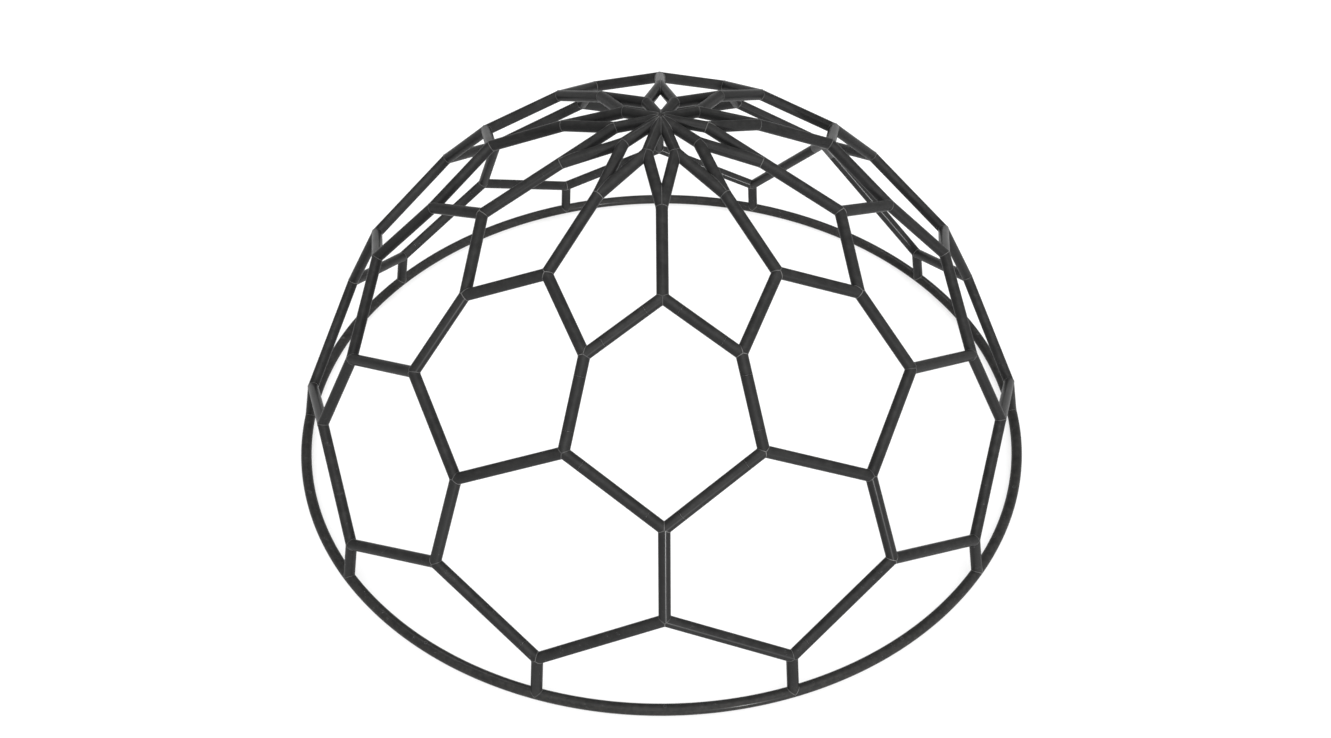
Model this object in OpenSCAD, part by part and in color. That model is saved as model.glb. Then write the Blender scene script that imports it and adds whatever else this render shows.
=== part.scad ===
// Open climbing dome of round steel tube. A ring of ten bays rests on the ground, and nine
// courses of struts rise from it to a crown: short posts, then zigzags and uprights in turn, then
// the rays that meet at the top. Three struts meet at every joint of the dome. Each joint is a
// welded hub of mitred stubs, and straight tubes are spliced between the hubs with inner sleeves
// and flush set screws, so that the outside stays smooth for hands and feet. One bay is a doorway:
// it has no joint and no upright over its lowest opening, and its two zigzag struts run on to the
// next joint, where four struts meet.

/* [Dome] */
// Radius of the base ring, to the middle of its tube
ring_radius = 8500; // [8400:50:11000]
// Height of the crown joint over the base ring, middle to middle
dome_rise = 8500; // [8400:50:10000]
// How far the centre of the dome's profile arc lies behind the middle, over the ring radius
profile_offset = 0.2; // [0.15:0.01:0.25]

/* [Courses] */
// Share of the profile arc that a post or a crown ray takes
post_share = 1.5; // [1.5:0.05:1.7]
// Share of the profile arc that a zigzag course takes
zigzag_share = 2; // [1.8:0.05:2.05]
// Share of the profile arc that an upright course takes
upright_share = 3; // [2.8:0.05:3.05]

/* [Doorway] */
// Bay with the doorway, counted from the front towards +X
doorway_bay = 4; // [0:1:9]

/* [Tube] */
// Outside diameter of every tube
tube_d = 244.5; // [220:0.5:246]
// Wall thickness of every tube
tube_wall = 8; // [6.5:0.5:10]
// Length of a hub's stub, from the joint to its square end
stub_reach = 420; // [380:10:460]
// Part of a crown zigzag strut that belongs to its lower hub
long_stub_share = 0.58; // [0.56:0.01:0.6]

/* [Splices] */
// Length of an inner sleeve
sleeve_length = 230; // [200:5:240]
// Wall thickness of an inner sleeve
sleeve_wall = 10; // [8:0.5:12]
// Radial play between a sleeve and the tube around it
sleeve_play = 0.4; // [0.2:0.1:0.8]
// Gap between the square ends that meet at a splice
butt_gap = 1; // [0.5:0.1:2]
// Distance from a splice to its set screws
screw_offset = 60; // [50:5:70]
// Angle round the tube from the dome's outer side to a set screw
screw_angle = 180; // [150:5:210]
// Diameter of a set screw
screw_d = 12; // [10:1:16]

/* [Anchors] */
// Outside diameter of the boss around each ground anchor hole
boss_d = 70; // [64:1:80]
// Diameter of each ground anchor hole
anchor_d = 27; // [22:1:30]
// Diameter of the recess over each anchor hole, for the nut of the anchor
recess_d = 50; // [44:1:54]
// Depth of that recess
recess_depth = 60; // [50:1:80]
// Thickness of the cap that closes the top of the recess
cap_depth = 15; // [10:1:25]

/* [Hidden] */
// Number of bays, and the angle of one bay and of half a bay
bays = 10;
bay_angle = 360 / bays;
half_bay = bay_angle / 2;

// Courses count up from the base ring, and level 0 is the ring itself
post_course = 1;
long_stub_course = 8;
crown_course = 9;
tube_courses = [2 : 7];
hub_levels = [1 : 8];
crown_level = 9;

// The doorway has no joint on its open level. The struts from below run on to the next level
open_level = 2;
doorway_angle = bay_angle * doorway_bay;

// Radii in the tube's cross-section
tube_r = tube_d / 2;
bore_r = tube_r - tube_wall;
sleeve_r = bore_r - sleeve_play;
sleeve_bore_r = sleeve_r - sleeve_wall;

// Gap that stands for the root of a weld between two mitred stubs
weld_gap = 0.2;
// Play between a set screw and its hole, and between its tip and the sleeve
screw_play = 0.05;
// Distance from the tube's axis to the flush end of a set screw, whose rim meets the surface
screw_top = sqrt(pow(tube_r, 2) - pow(screw_d / 2, 2));
// Depth of the hexagonal socket in a set screw, and its width over the corners
socket_depth = 4;
socket_d = 0.55 * screw_d;
// Radial play of a cap in its recess
cap_play = 0.1;
// Spare length of a cutting shape past the face it opens
over = 2;
// Side of the cubes that stand for half of space when a stub is mitred
half_space = 4 * stub_reach;

// Height of the anchor boss: its rim meets the curved top of the ring
boss_top = tube_r + sqrt(pow(tube_r, 2) - pow(boss_d / 2, 2));

steel = [0.22, 0.22, 0.23];
sleeve_steel = [0.55, 0.56, 0.58];
screw_steel = [0.3, 0.3, 0.31];
cap_rubber = [0.12, 0.12, 0.12];

$fn = 48;

// Names of repeated nodes carry two digits
function numbered(name, i) = str(name, "_", i < 10 ? "0" : "", i);
function all_numbered(name) = [for (i = [1 : bays]) numbered(name, i)];

course_names = [
    "base_ring", "post", "first_zigzag", "first_upright", "second_zigzag", "second_upright",
    "third_zigzag", "third_upright", "crown_zigzag", "crown_ray"
];
level_names = ["", "first", "second", "third", "fourth", "fifth", "sixth", "seventh", "eighth"];

// ---- Profile and joints -------------------------------------------------------------------

// The profile is one arc from the base ring to the crown. Its centre lies behind the middle and
// below the ring, so the dome comes to a soft point
arc_back = profile_offset * ring_radius;
arc_run = ring_radius + arc_back;
arc_drop = (pow(arc_run, 2) - pow(arc_back, 2) - pow(dome_rise, 2)) / (2 * dome_rise);
arc_radius = norm([arc_run, arc_drop]);
arc_start = atan2(arc_drop, arc_run);
arc_end = atan2(dome_rise + arc_drop, arc_back);

function course_share(course) =
    course == post_course || course == crown_course ? post_share
    : course % 2 == 0 ? zigzag_share
    : upright_share;

function share_below(level) = level == 0 ? 0 : share_below(level - 1) + course_share(level);

// Radius and height of a level's joints
function level_profile(level) =
    let (a = arc_start + (arc_end - arc_start) * share_below(level) / share_below(crown_level))
    [arc_radius * cos(a) - arc_back, tube_r + arc_radius * sin(a) - arc_drop];

// Point at an angle round the dome, counted from the front towards +X
function place(angle, radius, height) = [radius * sin(angle), -radius * cos(angle), height];

function is_open(level, angle) = level == open_level && (angle - doorway_angle) % 360 == 0;

function joint(level, angle) =
    is_open(level, angle) ? joint(level + 1, angle)
    : let (p = level_profile(level))
    place(angle, level == crown_level ? 0 : p[0], p[1]);

// Two levels in four are turned by half a bay
function turned(level) = floor(level / 2) % 2 == 0;
function joint_angle(level, bay) = bay_angle * bay + (turned(level) ? half_bay : 0);

// The two ends, lower then upper, of every strut in a course
function struts(course) =
    let (sides = course % 2 == 0 ? [-half_bay, half_bay] : [0])
    [for (bay = [0 : bays - 1], side = sides)
        let (angle = joint_angle(course - 1, bay))
        if (!is_open(course - 1, angle)) [joint(course - 1, angle), joint(course, angle + side)]];

function span(strut) = norm(strut[1] - strut[0]);

// True for the two struts that reach the hub of the doorway from below
function is_at_doorway(strut, course) =
    course == open_level && strut[1] == joint(open_level, doorway_angle);

// A strut without a tube of its own is spliced once, stub to stub
function spliced_once(course) =
    course == post_course || course == long_stub_course || course == crown_course;

function stub_length(course, from_below) =
    !spliced_once(course) ? stub_reach
    : course == long_stub_course
        ? span(struts(course)[0]) * (from_below ? long_stub_share : 1 - long_stub_share)
    : span(struts(course)[0]) / 2;

// Distances from a strut's lower end to its splices
function splice_stations(strut, course) =
    spliced_once(course) ? [stub_length(course, true)]
    : [stub_reach, span(strut) - stub_reach];

// The struts at a hub, in turn round it: far end, course, and whether it leads up from the hub
function hub_arms(level, angle) =
    level % 2 == 0
    ? [[joint(level + 1, angle), level + 1, true],
       [joint(level - 1, angle - half_bay), level, false],
       [joint(level - 1, angle + half_bay), level, false]]
    : concat(
        is_open(level - 1, angle)
        ? [for (side = [-half_bay, half_bay]) [joint(level - 2, angle + side), level - 1, false]]
        : [[joint(level - 1, angle), level, false]],
        [for (side = [half_bay, -half_bay]) [joint(level + 1, angle + side), level + 1, true]]);

// Half the angle of the base ring that a foot tee and a butt gap cover
tee_angle = stub_reach / ring_radius * 180 / PI;
gap_angle = butt_gap / ring_radius * 180 / PI;
sleeve_angle = sleeve_length / ring_radius * 180 / PI;

function unit(v) = v / norm(v);

// Frames of the splices in a course: a point, the tube's direction and the outward direction
function splice_frames(course) =
    course == 0
    ? [for (bay = [0 : bays - 1], side = [-1, 1])
        let (angle = joint_angle(0, bay) + side * tee_angle)
        [place(angle, ring_radius, tube_r), [cos(angle), sin(angle), 0], place(angle, 1, 0)]]
    : [for (s = struts(course), station = splice_stations(s, course))
        let (way = unit(s[1] - s[0]))
        [s[0] + station * way, way, outward(s[0], s[1])]];

// Direction from the middle of the base ring to the middle of a strut
function outward(a, b) = unit((a + b) / 2 - [0, 0, tube_r]);

// ---- Shared shapes ------------------------------------------------------------------------

// Puts its children at a point, with +Z along way and +X towards the side out
module along(point, way, out) {
    z = unit(way);
    y = unit(cross(z, out));
    x = cross(y, z);
    multmatrix([
        [x[0], y[0], z[0], point[0]],
        [x[1], y[1], z[1], point[1]],
        [x[2], y[2], z[2], point[2]],
        [0, 0, 0, 1]
    ]) children();
}

// Hollow tube along +Z between two heights, without its screw holes. Its own seam faces sideways,
// clear of the screws and of the corners of the mitres
module pipe(from, to, outer_r, inner_r) {
    rotate([0, 0, 90]) difference() {
        translate([0, 0, from]) cylinder(r = outer_r, h = to - from);
        translate([0, 0, from - over]) cylinder(r = inner_r, h = to - from + 2 * over);
    }
}

// Puts its children at the set screw of one half of a splice, with +Z pointing out of the tube
module at_screw(height) {
    rotate([0, 0, screw_angle]) translate([0, 0, height]) rotate([0, 90, 0]) children();
}

// Threaded hole through the wall of a tube
module screw_hole() {
    translate([0, 0, bore_r - over]) cylinder(d = screw_d, h = tube_wall + 2 * over, $fn = 24);
}

// Set screw with a hexagonal socket. It goes through the tube and bears on the sleeve
module set_screw() {
    tip = sleeve_r + screw_play;
    difference() {
        translate([0, 0, tip]) cylinder(r = screw_d / 2 - screw_play, h = screw_top - tip, $fn = 24);
        translate([0, 0, screw_top - socket_depth])
            cylinder(d = socket_d, h = socket_depth + over, $fn = 6);
    }
}

// Everything behind the mitre between two directions that leave a point
module beyond_mitre(point, way, other) {
    along(point, way - other, cross(way, other))
        translate([-half_space / 2, -half_space / 2, weld_gap / 2 - half_space])
            cube(half_space);
}

// Stub of a hub: a tube that leaves a point, mitred against its neighbours and square at its end
module stub(point, target, reach, neighbours) {
    way = unit(target - point);
    difference() {
        along(point, way, outward(point, target)) difference() {
            pipe(-tube_r, reach - butt_gap / 2, tube_r, bore_r);
            at_screw(reach - screw_offset) screw_hole();
        }
        for (n = neighbours) beyond_mitre(point, way, unit(n - point));
    }
}

// Arc of the base ring between two angles round the dome
module ring_arc(from, to, outer_r, inner_r) {
    rotate([0, 0, from - 90])
        rotate_extrude(angle = to - from, $fn = 720)
            translate([ring_radius, 0]) difference() {
                circle(outer_r);
                circle(inner_r);
            }
}

// Screw hole of the ring's splice at an angle; side picks the half of the splice
module ring_screw_hole(angle, side) {
    along(place(angle, ring_radius, 0), [cos(angle), sin(angle), 0], place(angle, 1, 0))
        at_screw(side * screw_offset) screw_hole();
}

// ---- Sub-parts ----------------------------------------------------------------------------

// Welded tee at a foot of the dome: a short run of the ring and the stub of a post on top of it
module foot_tee(i) {
    angle = joint_angle(0, i - 1);
    foot = joint(0, angle);
    post_top = joint(1, angle);
    way = unit(post_top - foot);
    across = place(angle, 1, 0);
    reach = stub_length(post_course, true);
    color(steel) {
        difference() {
            translate([0, 0, tube_r]) difference() {
                ring_arc(angle - tee_angle + gap_angle / 2, angle + tee_angle - gap_angle / 2,
                    tube_r, bore_r);
                ring_screw_hole(angle - tee_angle, 1);
                ring_screw_hole(angle + tee_angle, -1);
            }
            along(foot, way, across) notch(0);
        }
        intersection() {
            along(foot, way, across) difference() {
                pipe(-tube_r, reach - butt_gap / 2, tube_r, bore_r);
                at_screw(reach - screw_offset) screw_hole();
            }
            along(foot, way, across) notch(weld_gap * sqrt(2));
        }
    }
}

// Space over a foot that belongs to the post: between two planes at 45 degrees to the ring
module notch(lift) {
    translate([0, 0, lift]) rotate([45, 0, 0]) translate([-half_space / 2, 0, 0]) cube(half_space);
}

// Curved tube of the base ring between two foot tees, with the hole for its anchor boss
module ring_tube(i) {
    middle = joint_angle(0, i - 1) + half_bay;
    reach = half_bay - tee_angle - gap_angle / 2;
    color(steel) translate([0, 0, tube_r]) difference() {
        ring_arc(middle - reach, middle + reach, tube_r, bore_r);
        ring_screw_hole(middle - half_bay + tee_angle, 1);
        ring_screw_hole(middle + half_bay - tee_angle, -1);
        translate(place(middle, ring_radius, -tube_d)) cylinder(d = boss_d, h = 2 * tube_d);
    }
}

// Welded hub, each stub mitred against the ones beside it
module hub(level, angle) {
    arms = hub_arms(level, angle);
    count = len(arms);
    color(steel)
        for (i = [0 : count - 1])
            stub(joint(level, angle), arms[i][0], stub_length(arms[i][1], arms[i][2]),
                [for (step = [1, count - 1]) arms[(i + step) % count][0]]);
}

// Three-way hubs of one level
module hubs(level) {
    for (bay = [0 : bays - 1]) {
        angle = joint_angle(level, bay);
        if (!is_open(level, angle) && !is_open(level - 1, angle)) hub(level, angle);
    }
}

// Four-way hub over the doorway
module doorway_hub() {
    hub(open_level + 1, doorway_angle);
}

// Ten-way hub at the crown, each stub mitred against the next one on both sides
module crown_hub() {
    top = joint(crown_level, 0);
    color(steel)
        for (bay = [0 : bays - 1]) {
            angle = joint_angle(crown_level - 1, bay);
            stub(top, joint(crown_level - 1, angle), stub_length(crown_course, false),
                [for (side = [-bay_angle, bay_angle]) joint(crown_level - 1, angle + side)]);
        }
}

// Straight tube of a strut, square at both ends
module tube(strut) {
    way = unit(strut[1] - strut[0]);
    length = span(strut) - 2 * stub_reach;
    color(steel)
        along(strut[0] + stub_reach * way, way, outward(strut[0], strut[1])) difference() {
            pipe(butt_gap / 2, length - butt_gap / 2, tube_r, bore_r);
            at_screw(screw_offset) screw_hole();
            at_screw(length - screw_offset) screw_hole();
        }
}

// Tubes of one course
module tubes(course) {
    for (s = struts(course)) if (!is_at_doorway(s, course)) tube(s);
}

// Long tubes on both sides of the doorway
module doorway_tubes() {
    for (s = struts(open_level)) if (is_at_doorway(s, open_level)) tube(s);
}

// Inner sleeves of one course. Those of the base ring are curved with it
module sleeves(course) {
    color(sleeve_steel)
        if (course == 0)
            for (bay = [0 : bays - 1], side = [-1, 1]) {
                angle = joint_angle(0, bay) + side * tee_angle;
                translate([0, 0, tube_r])
                    ring_arc(angle - sleeve_angle / 2, angle + sleeve_angle / 2,
                        sleeve_r, sleeve_bore_r);
            }
        else
            for (f = splice_frames(course))
                along(f[0], f[1], f[2])
                    pipe(-sleeve_length / 2, sleeve_length / 2, sleeve_r, sleeve_bore_r);
}

// Set screws of one course, one in each half of a splice
module screws(course) {
    color(screw_steel)
        for (f = splice_frames(course), half = [-1, 1])
            along(f[0], f[1], f[2]) at_screw(half * screw_offset) set_screw();
}

// Upright bosses through the base ring at the middle of each bay, flat on the ground
module anchor_bosses() {
    color(steel)
        for (bay = [0 : bays - 1])
            translate(place(joint_angle(0, bay) + half_bay, ring_radius, 0)) difference() {
                cylinder(d = boss_d, h = boss_top);
                translate([0, 0, -over]) cylinder(d = anchor_d, h = boss_top);
                translate([0, 0, boss_top - recess_depth]) cylinder(d = recess_d, h = recess_depth + over);
            }
}

// Caps that close the recesses over the anchor holes
module anchor_caps() {
    color(cap_rubber)
        for (bay = [0 : bays - 1])
            translate(place(joint_angle(0, bay) + half_bay, ring_radius, boss_top - cap_depth))
                cylinder(d = recess_d - 2 * cap_play, h = cap_depth);
}

for (i = [1 : bays]) {
    foot_tee(i);
    ring_tube(i);
}
for (level = hub_levels)
    hubs(level);
doorway_hub();
crown_hub();
for (course = tube_courses)
    tubes(course);
doorway_tubes();
for (course = [0 : crown_course]) {
    sleeves(course);
    screws(course);
}
anchor_bosses();
anchor_caps();
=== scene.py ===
import math

import bpy
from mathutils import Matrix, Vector


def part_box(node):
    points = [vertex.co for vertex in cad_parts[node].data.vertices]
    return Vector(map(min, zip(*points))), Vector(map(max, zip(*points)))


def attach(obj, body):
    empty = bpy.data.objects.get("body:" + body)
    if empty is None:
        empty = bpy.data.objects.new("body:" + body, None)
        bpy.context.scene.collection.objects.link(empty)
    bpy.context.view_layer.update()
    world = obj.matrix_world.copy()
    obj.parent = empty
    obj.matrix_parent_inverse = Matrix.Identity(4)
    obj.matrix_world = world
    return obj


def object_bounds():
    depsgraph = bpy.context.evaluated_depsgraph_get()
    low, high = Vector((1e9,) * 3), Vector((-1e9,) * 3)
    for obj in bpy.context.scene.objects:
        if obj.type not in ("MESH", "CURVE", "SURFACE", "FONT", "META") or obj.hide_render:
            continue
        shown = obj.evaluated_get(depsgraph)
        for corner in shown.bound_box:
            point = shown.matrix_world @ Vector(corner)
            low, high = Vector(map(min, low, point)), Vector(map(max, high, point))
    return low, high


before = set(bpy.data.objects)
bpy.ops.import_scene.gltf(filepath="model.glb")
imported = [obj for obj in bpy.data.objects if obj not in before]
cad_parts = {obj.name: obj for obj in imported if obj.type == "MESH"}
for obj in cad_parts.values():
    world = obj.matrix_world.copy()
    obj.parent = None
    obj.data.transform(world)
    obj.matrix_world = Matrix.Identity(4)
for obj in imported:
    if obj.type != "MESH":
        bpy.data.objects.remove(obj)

CAD_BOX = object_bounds()

# ---- Sizes, worked out from the frame ------------------------------------------------------

BAYS = 10
BAY = 2 * math.pi / BAYS
HALF_BAY = BAY / 2
TUBE_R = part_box("ring_tube_01")[1].z / 2
RING_R = CAD_BOX[1].x - TUBE_R
RISE = RING_R
PROFILE_OFFSET = 0.2          # the profile arc's centre lies this far behind the middle, over RING_R
CROWN_LEVEL = 9
SHARES = {"post": 1.5, "zigzag": 2, "upright": 3}

# The doorway's bay has no joint on the open level, so the struts from below run on to the next one
OPEN_LEVEL = 2
DOOR_HUB = sum(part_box("doorway_hub"), Vector()) / 2
DOOR_ANGLE = BAY * round(math.atan2(DOOR_HUB.x, -DOOR_HUB.y) / BAY)

# Weld beads, in metres, with the steps that their lines are drawn in
BEAD_R = 0.0085
SMALL_BEAD_R = 0.004
BEAD_SINK = 0.35              # how deep a bead's middle lies under the joint, over its radius
BEAD_SIDES = 6
BEAD_STEPS = 120              # steps round a tube
BEAD_RIPPLE = 0.12
BEAD_RIPPLE_TURN = 1.9        # radians of ripple for each step
FOOT_STEPS = 60
BOSS_STEPS = 48
CROWN_EYE = 0.05              # radius at the crown that its beads leave free
BOSS_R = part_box("anchor_bosses")[1].y - RING_R


# ---- Colours and light ---------------------------------------------------------------------

PAINT = 0.016                 # linear grey of the powder coat
# linear grey of the weld beads' coat, lighter than PAINT: a painted highlight where the raised bead
# catches light
WELD_HIGHLIGHT_PAINT = 0.05
DUST = (0.27, 0.265, 0.255)
SOIL = (0.10, 0.088, 0.07)
SCUFF = (0.17, 0.17, 0.175)
RUST = (0.14, 0.06, 0.03)
SKY = 0.46                    # light of the sky on the dome
BACKDROP = 1.0                # the same sky as the camera sees it
FLOOR_RINGS = 40              # half the floor's side, over the ring's radius
# Angle to the side, height over the horizon, strength, width in degrees, and if it casts shadows
LAMPS = {
    "key": (10, 60, 2.3, 60, False),
    "glint": (20, 3, 3.5, 2.5, True),
    "rim": (-162, 58, 0.5, 5, False),
}

# ---- Camera --------------------------------------------------------------------------------

CLIP = 100                    # the camera sees from RING_R / CLIP to RING_R * CLIP
LENS = 41.62
SENSOR = 36
CAMERA_SIDE = -0.0195         # camera's place, in ring radii from the middle of the base ring
CAMERA_BACK = -3.1009
CAMERA_UP = 3.1146
LOOK_DOWN = 43.514            # degrees below the horizon
LOOK_RIGHT = 0.563            # degrees to the right of +Y


def add_camera():
    data = bpy.data.cameras.new("camera")
    data.lens = LENS
    data.sensor_width = SENSOR
    data.clip_start = RING_R / CLIP
    data.clip_end = RING_R * CLIP
    camera = bpy.data.objects.new("camera", data)
    bpy.context.scene.collection.objects.link(camera)
    camera.location = (
        CAMERA_SIDE * RING_R,
        CAMERA_BACK * RING_R,
        CAMERA_UP * RING_R + TUBE_R,
    )
    camera.rotation_euler = (
        math.radians(90 - LOOK_DOWN),
        0,
        -math.radians(LOOK_RIGHT),
    )
    bpy.context.scene.camera = camera


# ---- Geometry of the dome ------------------------------------------------------------------


def course_share(course):
    if course in (1, CROWN_LEVEL):
        return SHARES["post"]
    return SHARES["zigzag"] if course % 2 == 0 else SHARES["upright"]


def level_profile(level):
    """Radius and height of a level's joints, on one arc from the base ring to the crown."""
    back = PROFILE_OFFSET * RING_R
    run = RING_R + back
    drop = (run**2 - back**2 - RISE**2) / (2 * RISE)
    radius = math.hypot(run, drop)
    start = math.atan2(drop, run)
    end = math.atan2(RISE + drop, back)
    below = sum(course_share(c) for c in range(1, level + 1))
    whole = sum(course_share(c) for c in range(1, CROWN_LEVEL + 1))
    a = start + (end - start) * below / whole
    return radius * math.cos(a) - back, TUBE_R + radius * math.sin(a) - drop


def place(angle, radius, height):
    """Point at an angle round the dome, counted from the front towards +X."""
    return Vector((radius * math.sin(angle), -radius * math.cos(angle), height))


def is_open(level, angle):
    """True for the joint that the doorway leaves out."""
    return level == OPEN_LEVEL and abs(math.remainder(angle - DOOR_ANGLE, 2 * math.pi)) < HALF_BAY


def joint(level, angle):
    if is_open(level, angle):
        level += 1
    radius, height = level_profile(level)
    return place(angle, 0 if level == CROWN_LEVEL else radius, height)


def joint_angle(level, bay):
    return BAY * bay + (HALF_BAY if (level // 2) % 2 == 0 else 0)


def hub_ends(level, angle):
    """Far ends of the struts that meet at a joint: four over the doorway, and three elsewhere."""
    step = 1 if level % 2 else -1   # towards the level that two of the struts lead to
    if is_open(level - step, angle):
        single = [joint(level - 2 * step, angle + side) for side in (-HALF_BAY, HALF_BAY)]
    else:
        single = [joint(level - step, angle)]
    return single + [joint(level + step, angle + side) for side in (HALF_BAY, -HALF_BAY)]


# ---- Meshes --------------------------------------------------------------------------------


def smooth_mesh(name, points, faces, material):
    mesh = bpy.data.meshes.new(name)
    mesh.from_pydata(points, [], faces)
    mesh.polygons.foreach_set("use_smooth", [True] * len(mesh.polygons))
    mesh.materials.append(material)
    mesh.update()
    piece = bpy.data.objects.new(name, mesh)
    bpy.context.scene.collection.objects.link(piece)
    return piece


def within_box(point):
    """The nearest point inside the CAD box."""
    low, high = CAD_BOX
    return Vector(min(max(c, a), b) for c, a, b in zip(point, low, high))


def bead_ring(here, way, out, radius):
    """Points of one cross-section of a bead. It is sunk into the joint, so that part of it shows."""
    across = way.cross(out).normalized()
    up = across.cross(way)
    middle = here - BEAD_SINK * radius * up
    ring = []
    for k in range(BEAD_SIDES):
        turn = 2 * math.pi * k / BEAD_SIDES
        ring.append(within_box(middle + radius * (math.cos(turn) * across + math.sin(turn) * up)))
    return ring


def add_bead(points, faces, path, out, radius, closed=False):
    """Adds a weld bead along a path. out gives the outward direction at each of its points."""
    first = len(points)
    count = len(path)
    for i, here in enumerate(path):
        if closed:
            way = path[(i + 1) % count] - path[i - 1]
        else:
            way = path[min(i + 1, count - 1)] - path[max(i - 1, 0)]
        swell = radius * (1 + BEAD_RIPPLE * math.sin(BEAD_RIPPLE_TURN * i))
        points.extend(bead_ring(here, way.normalized(), out[i], swell))
    for i in range(count if closed else count - 1):
        row = first + i * BEAD_SIDES
        next_row = first + (i + 1) % count * BEAD_SIDES
        for k in range(BEAD_SIDES):
            n = (k + 1) % BEAD_SIDES
            faces.append((row + k, row + n, next_row + n, next_row + k))
    if not closed:
        last = first + (count - 1) * BEAD_SIDES
        faces.append(tuple(first + k for k in reversed(range(BEAD_SIDES))))
        faces.append(tuple(last + k for k in range(BEAD_SIDES)))


# ---- Weld beads ----------------------------------------------------------------------------


def longest_run(rows):
    """The longest unbroken stretch of a closed row."""
    best = []
    for start in range(len(rows)):
        if rows[start] is None or rows[start - 1] is not None:
            continue
        run = []
        k = start
        while rows[k % len(rows)] is not None:
            run.append(rows[k % len(rows)])
            k += 1
        best = max(best, run, key=len)
    return best


def mitre_lines(point, ends):
    """Lines along which the skins of mitred stubs meet at a joint, one for each pair."""
    ways = [(e - point).normalized() for e in ends]
    lines = []
    for i, way in enumerate(ways):
        side = way.orthogonal().normalized()
        other_side = way.cross(side)
        rows = []
        for k in range(BEAD_STEPS):
            turn = 2 * math.pi * k / BEAD_STEPS
            skin = math.cos(turn) * side + math.sin(turn) * other_side
            reach = [
                (-TUBE_R * skin.dot(way - w) / way.dot(way - w), j)
                for j, w in enumerate(ways)
                if j != i
            ]
            along, nearest = max(reach)
            rows.append((nearest, point + along * way + TUBE_R * skin))
        for j in range(i + 1, len(ways)):
            shared = longest_run([r if r[0] == j else None for r in rows])
            lines.append([r[1] for r in shared])
    return [line for line in lines if len(line) > 2]


def add_hub_beads(points, faces, point, ends):
    for line in mitre_lines(point, ends):
        add_bead(points, faces, line, [(p - point).normalized() for p in line], BEAD_R)


def add_crown_beads(points, faces):
    """Beads of the ten-way hub. They stop short of the middle, where ten lines would meet."""
    point = joint(CROWN_LEVEL, 0)
    ends = [joint(CROWN_LEVEL - 1, joint_angle(CROWN_LEVEL - 1, bay)) for bay in range(BAYS)]
    for line in mitre_lines(point, ends):
        line = [p for p in line if math.hypot(p.x, p.y) > CROWN_EYE]
        add_bead(points, faces, line, [(p - point).normalized() for p in line], BEAD_R)


def add_foot_beads(points, faces, angle):
    """Two beads where a post stands on the base ring, one on each side."""
    foot = joint(0, angle)
    up = (joint(1, angle) - foot).normalized()
    tangent = Vector((math.cos(angle), math.sin(angle), 0))
    across = tangent.cross(up)
    for half in (1, -1):
        path = []
        for k in range(FOOT_STEPS + 1):
            turn = math.pi * k / FOOT_STEPS
            ahead = half * math.sin(turn)
            path.append(foot + TUBE_R * (math.cos(turn) * across + ahead * tangent + abs(ahead) * up))
        add_bead(points, faces, path, [(p - foot).normalized() for p in path], BEAD_R)


def add_boss_bead(points, faces, angle):
    """Closed bead round an anchor boss, on the curved top of the ring."""
    middle = place(angle, RING_R, TUBE_R)
    radial = place(angle, 1, 0)
    tangent = Vector((math.cos(angle), math.sin(angle), 0))
    path, out = [], []
    for k in range(BOSS_STEPS):
        turn = 2 * math.pi * k / BOSS_STEPS
        inward = BOSS_R * math.cos(turn)
        height = math.sqrt(TUBE_R**2 - inward**2)
        here = inward * radial + height * Vector((0, 0, 1))
        path.append(middle + here + BOSS_R * math.sin(turn) * tangent)
        out.append(here.normalized())
    add_bead(points, faces, path, out, SMALL_BEAD_R, closed=True)


def add_welds(material):
    """The weld beads of every level of hubs, of the crown, of the feet and of the bosses."""
    for level in range(1, CROWN_LEVEL):
        points, faces = [], []
        for bay in range(BAYS):
            angle = joint_angle(level, bay)
            if not is_open(level, angle):
                add_hub_beads(points, faces, joint(level, angle), hub_ends(level, angle))
        finish_weld(f"weld_beads_level_{level}", points, faces, material)
    points, faces = [], []
    add_crown_beads(points, faces)
    finish_weld("weld_beads_crown", points, faces, material)
    points, faces = [], []
    for bay in range(BAYS):
        add_foot_beads(points, faces, joint_angle(0, bay))
    finish_weld("weld_beads_feet", points, faces, material)
    points, faces = [], []
    for bay in range(BAYS):
        add_boss_bead(points, faces, joint_angle(0, bay) + HALF_BAY)
    finish_weld("weld_beads_bosses", points, faces, material)


def finish_weld(name, points, faces, material):
    weld = smooth_mesh(name, points, faces, material)
    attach(weld, "root")


# ---- Materials -----------------------------------------------------------------------------


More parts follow.
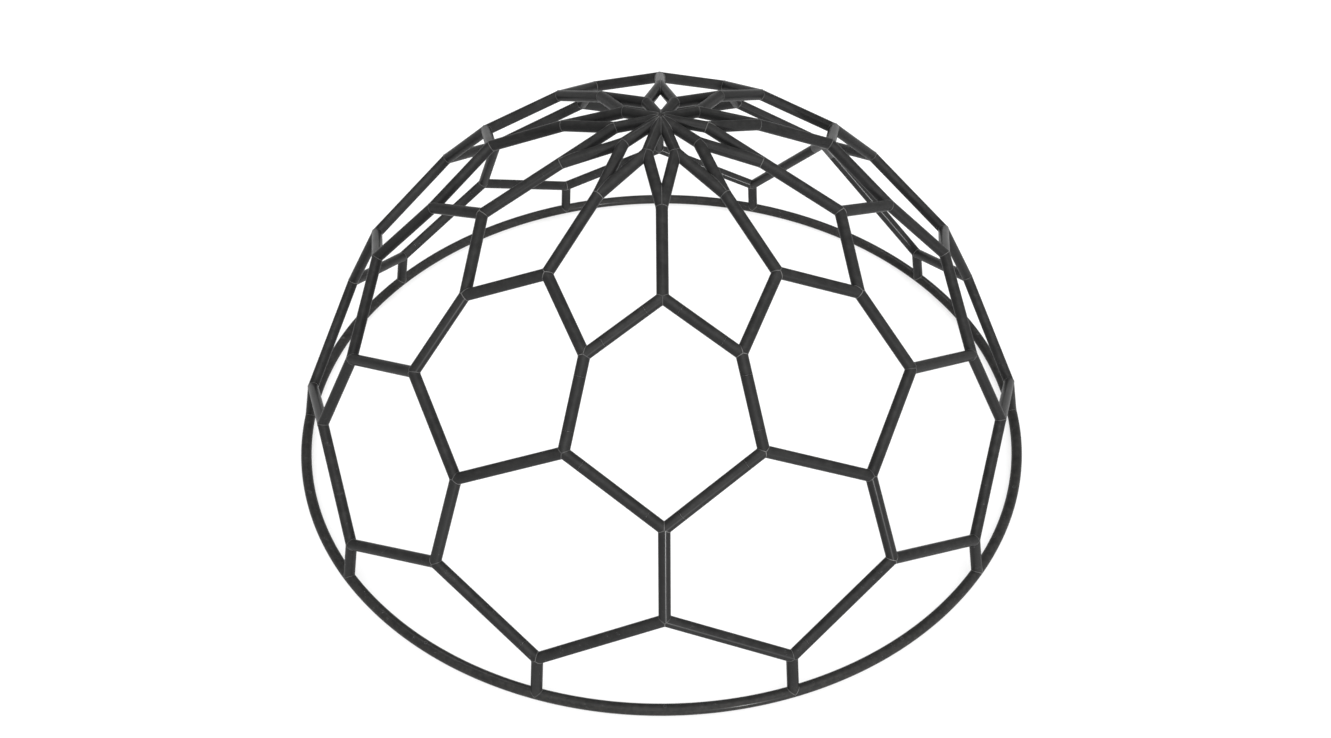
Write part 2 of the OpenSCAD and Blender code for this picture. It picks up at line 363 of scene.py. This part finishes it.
class Surface:
    """A procedural material under construction. Patterns are laid out in the object's own metres."""

    def __init__(self, name):
        self.material = bpy.data.materials.new(name)
        self.material.use_nodes = True
        tree = self.material.node_tree
        self.nodes, self.link = tree.nodes, tree.links.new
        self.shader = next(n for n in self.nodes if n.type == "BSDF_PRINCIPLED")
        self.where = self.nodes.new("ShaderNodeTexCoord").outputs["Object"]

    def put(self, **values):
        """Sets values on the shader, where _ stands for a space in a socket's name."""
        for name, value in values.items():
            self.shader.inputs[name.replace("_", " ")].default_value = value

    def noise(self, scale, detail=2, stretch=None):
        """Noise with about scale grains to a metre."""
        node = self.nodes.new("ShaderNodeTexNoise")
        node.inputs["Scale"].default_value = scale
        node.inputs["Detail"].default_value = detail
        if stretch:
            mapping = self.nodes.new("ShaderNodeMapping")
            mapping.inputs["Scale"].default_value = stretch
            self.link(self.where, mapping.inputs["Vector"])
            self.link(mapping.outputs["Vector"], node.inputs["Vector"])
        else:
            self.link(self.where, node.inputs["Vector"])
        return node.outputs["Fac"]

    def cells(self, scale):
        """A random shade for each grain of a crystalline surface."""
        node = self.nodes.new("ShaderNodeTexVoronoi")
        node.inputs["Scale"].default_value = scale
        self.link(self.where, node.inputs["Vector"])
        split = self.nodes.new("ShaderNodeSeparateColor")
        self.link(node.outputs["Color"], split.inputs["Color"])
        return split.outputs["Red"]

    def facing_up(self):
        """1 where the surface faces straight up, -1 where it faces down."""
        split = self.nodes.new("ShaderNodeSeparateXYZ")
        self.link(self.nodes.new("ShaderNodeNewGeometry").outputs["Normal"], split.inputs["Vector"])
        return split.outputs["Z"]

    def height(self):
        split = self.nodes.new("ShaderNodeSeparateXYZ")
        self.link(self.where, split.inputs["Vector"])
        return split.outputs["Z"]

    def ramp(self, value, low, high, to_low=0.0, to_high=1.0):
        """Maps a value's stretch from low to high onto another, and holds it beyond the ends."""
        node = self.nodes.new("ShaderNodeMapRange")
        node.inputs["From Min"].default_value = low
        node.inputs["From Max"].default_value = high
        node.inputs["To Min"].default_value = to_low
        node.inputs["To Max"].default_value = to_high
        self.link(value, node.inputs["Value"])
        return node.outputs["Result"]

    def times(self, a, b):
        node = self.nodes.new("ShaderNodeMath")
        node.operation = "MULTIPLY"
        for socket, value in zip(node.inputs, (a, b)):
            if isinstance(value, (int, float)):
                socket.default_value = value
            else:
                self.link(value, socket)
        return node.outputs["Value"]

    def plus(self, a, b):
        node = self.nodes.new("ShaderNodeMath")
        self.link(a, node.inputs[0])
        self.link(b, node.inputs[1])
        return node.outputs["Value"]

    def mix(self, amount, under, over):
        """Lays a colour over another. Each is a grey, three numbers, or a mix made before."""
        node = self.nodes.new("ShaderNodeMix")
        node.data_type = "RGBA"
        self.link(amount, node.inputs[0])
        for socket, colour in zip(node.inputs[6:8], (under, over)):
            if isinstance(colour, tuple):
                socket.default_value = (*colour, 1)
            elif isinstance(colour, float):
                socket.default_value = (colour, colour, colour, 1)
            else:
                self.link(colour, socket)
        return node.outputs[2]

    def paint(self, colour):
        self.link(colour, self.shader.inputs["Base Color"])

    def rough(self, value):
        self.link(value, self.shader.inputs["Roughness"])

    def bump(self, *layers):
        """Each layer is a height pattern with the depth, in metres, that its full range stands for."""
        normal = None
        for pattern, depth in layers:
            node = self.nodes.new("ShaderNodeBump")
            node.inputs["Distance"].default_value = depth
            self.link(pattern, node.inputs["Height"])
            if normal:
                self.link(normal, node.inputs["Normal"])
            normal = node.outputs["Normal"]
        self.link(normal, self.shader.inputs["Normal"])


def painted_steel(name, shade):
    """Charcoal powder coat with orange peel, rubbed patches, dust on top and splashes low down."""
    s = Surface(name)
    patches = s.noise(0.8, 5)
    mottle = s.noise(24, 3)
    speckle = s.noise(170, 1)
    colour = s.mix(s.ramp(patches, 0.35, 0.7), 0.86 * shade, 1.12 * shade)
    colour = s.mix(s.ramp(mottle, 0.45, 0.75, 0, 0.5), colour, 1.3 * shade)
    dust = s.times(s.ramp(s.facing_up(), 0.3, 1), s.ramp(s.noise(5, 4), 0.4, 0.75, 0.01, 0.06))
    colour = s.mix(dust, colour, DUST)
    splash = s.times(s.ramp(s.height(), 0.45, 0, 0, 0.12), s.ramp(s.noise(13, 4), 0.42, 0.62))
    colour = s.mix(splash, colour, SOIL)
    in_reach = s.ramp(s.height(), 3.2, 2.2)
    scuffs = s.times(in_reach, s.ramp(s.noise(6, 2, (1, 1, 3)), 0.62, 0.72))
    scuffs = s.times(scuffs, s.ramp(s.noise(90, 2, (1, 1, 0.12)), 0.58, 0.66, 0, 0.55))
    colour = s.mix(scuffs, colour, SCUFF)
    s.paint(colour)
    worn = s.ramp(patches, 0.3, 0.75, 0.36, 0.5)
    s.rough(s.plus(s.plus(worn, s.times(dust, 1.5)), s.ramp(speckle, 0.3, 0.7, -0.03, 0.03)))
    s.put(IOR=1.3, Specular_IOR_Level=0.1)
    s.put(Coat_Weight=0.15, Coat_Roughness=0.18, Coat_IOR=1.3)
    s.bump((s.noise(2.2, 2), 0.0012), (s.noise(140, 1), 0.00012), (scuffs, -0.0001))
    return s.material


def weld_paint_with_highlight(name, shade):
    """The same coat over a weld, painted lighter than on the tubes as a painted highlight where the
    raised bead catches light. Its grain makes it lighter on the crests and darker in the ripples.
    """
    s = Surface(name)
    grain = s.noise(110, 3)
    colour = s.mix(s.ramp(grain, 0.35, 0.65), 0.7 * shade, 1.2 * shade)
    s.paint(s.mix(s.ramp(s.noise(3, 3), 0.45, 0.65, 0, 0.35), colour, DUST))
    s.rough(s.ramp(grain, 0.3, 0.7, 0.55, 0.4))
    s.put(Specular_IOR_Level=0.3)
    s.bump((grain, 0.0012), (s.noise(420, 1), 0.0002))
    return s.material


def galvanised_steel(name):
    """Hot-dip zinc with its spangle, a little white rust and sliding marks from assembly."""
    s = Surface(name)
    spangle = s.cells(130)
    colour = s.mix(spangle, 0.4, 0.58)
    colour = s.mix(s.ramp(s.noise(16, 4), 0.55, 0.7, 0, 0.5), colour, 0.72)
    s.paint(colour)
    s.rough(s.ramp(spangle, 0, 1, 0.32, 0.5))
    s.put(Metallic=0.85)
    s.bump((spangle, 0.00004), (s.noise(260, 2), 0.00006))
    return s.material


def blackened_steel(name):
    """Black-zinc set screws, polished by the key and pitted with age."""
    s = Surface(name)
    pits = s.noise(900, 3)
    colour = s.mix(s.ramp(pits, 0.35, 0.7), 0.035, 0.11)
    s.paint(s.mix(s.ramp(s.noise(60, 3), 0.58, 0.72, 0, 0.4), colour, RUST))
    s.rough(s.ramp(pits, 0.3, 0.7, 0.5, 0.3))
    s.put(Metallic=0.7)
    s.bump((pits, 0.00006))
    return s.material


def cap_rubber(name):
    """Matt black rubber that greys with sun."""
    s = Surface(name)
    bloom = s.noise(70, 4)
    s.paint(s.mix(s.ramp(bloom, 0.4, 0.7), 0.012, 0.045))
    s.rough(s.ramp(bloom, 0.3, 0.7, 0.62, 0.85))
    s.put(Specular_IOR_Level=0.3)
    s.bump((s.noise(650, 2), 0.0001))
    return s.material


def dress(material, *words):
    """Gives a material to every CAD node whose name holds one of the words."""
    for name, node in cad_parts.items():
        if any(word in name for word in words):
            node.data.materials.clear()
            node.data.materials.append(material)


# ---- Stage ---------------------------------------------------------------------------------


def pale_floor():
    s = Surface("floor_pale")
    s.paint(s.mix(s.noise(0.6, 3), 0.93, 0.97))
    s.rough(s.ramp(s.noise(9, 3), 0.3, 0.7, 0.75, 0.95))
    s.put(Specular_IOR_Level=0.1)
    return s.material


def add_floor():
    half = FLOOR_RINGS * RING_R
    corners = [(-half, -half, 0), (half, -half, 0), (half, half, 0), (-half, half, 0)]
    mesh = bpy.data.meshes.new("floor")
    mesh.from_pydata(corners, [], [(0, 1, 2, 3)])
    mesh.materials.append(pale_floor())
    floor = bpy.data.objects.new("floor", mesh)
    bpy.context.scene.collection.objects.link(floor)


def add_sky():
    """An even sky that lights the dome softly and looks white behind it."""
    world = bpy.data.worlds.new("studio")
    world.use_nodes = True
    nodes, link = world.node_tree.nodes, world.node_tree.links.new
    background = nodes["Background"]
    background.inputs["Color"].default_value = (1, 1, 1, 1)
    strength = nodes.new("ShaderNodeMapRange")
    strength.inputs["To Min"].default_value = SKY
    strength.inputs["To Max"].default_value = BACKDROP
    link(nodes.new("ShaderNodeLightPath").outputs["Is Camera Ray"], strength.inputs["Value"])
    link(strength.outputs["Result"], background.inputs["Strength"])
    bpy.context.scene.world = world


def add_lamp(name, side, height, energy, width, shadow):
    """A far lamp. side is its angle from the front towards +X, height is over the horizon."""
    data = bpy.data.lights.new(name, "SUN")
    data.energy = energy
    data.angle = math.radians(width)
    data.use_shadow = shadow
    lamp = bpy.data.objects.new(name, data)
    bpy.context.scene.collection.objects.link(lamp)
    up = math.radians(height)
    towards = place(math.radians(side), math.cos(up), math.sin(up))
    lamp.rotation_mode = "QUATERNION"
    lamp.rotation_quaternion = towards.to_track_quat("Z", "Y")


def add_stage():
    add_floor()
    add_sky()
    for name, settings in LAMPS.items():
        add_lamp(name, *settings)


# ---- The scene -----------------------------------------------------------------------------

add_camera()
dress(
    painted_steel("charcoal_paint", PAINT),
    "foot_tee", "ring_tube", "_hubs", "crown_hub", "_tubes", "anchor_bosses",
)
dress(galvanised_steel("galvanised_sleeves"), "_sleeves")
dress(blackened_steel("black_screws"), "_screws")
dress(cap_rubber("cap_rubber"), "anchor_caps")
# the weld beads get the lighter coat, a painted highlight on the raised beads
add_welds(weld_paint_with_highlight("charcoal_weld_painted_highlight", WELD_HIGHLIGHT_PAINT))
add_stage()
bpy.context.scene.view_settings.view_transform = "Standard"
